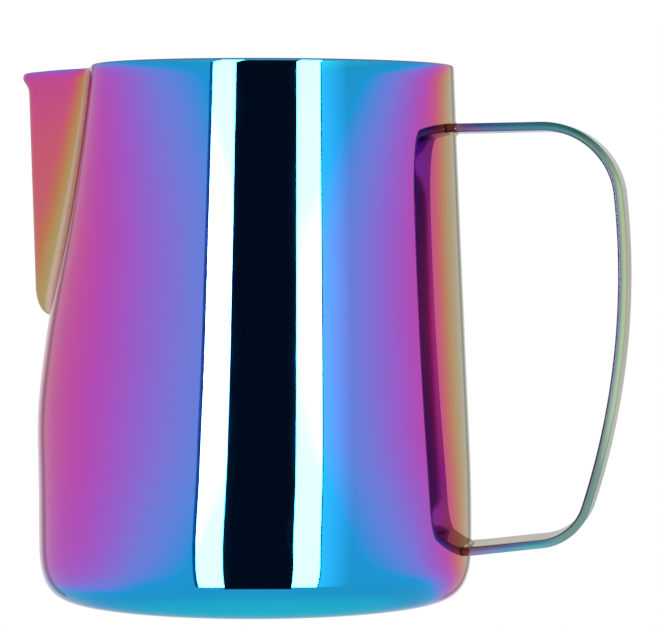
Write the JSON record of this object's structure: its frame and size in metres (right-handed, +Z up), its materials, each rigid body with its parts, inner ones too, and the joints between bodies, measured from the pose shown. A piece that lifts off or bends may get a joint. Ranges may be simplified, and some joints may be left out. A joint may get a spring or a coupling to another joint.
{
  "type": "milk frothing pitcher",
  "caption": "Steel milk frothing pitcher with a pressed V spout, a rounded base and a bent strap handle welded on at both ends, in a rainbow mirror coating.",
  "frame": {"origin": "on the axis of the cup, in the plane that its flat base stands on", "axes": "+Z up along the axis of the cup, +X towards the handle, -X towards the spout, +Y across"},
  "size_m": [0.1056, 0.075, 0.0923],
  "materials": {
    "cup": "mirror polished stainless steel with a rainbow PVD coating, cyan to violet to gold",
    "handle": "mirror polished strap with the same rainbow coating, blue and teal to pale green",
    "welds": "small polished fillet welds with a straw coloured coating"
  },
  "bodies": {
    "root": {"pitcher_body": "cup", "handle_strap": "handle", "weld_upper_top": "welds", "weld_upper_underside": "welds", "weld_lower_top": "welds", "weld_lower_underside": "welds"}
  },
  "joints": []
}
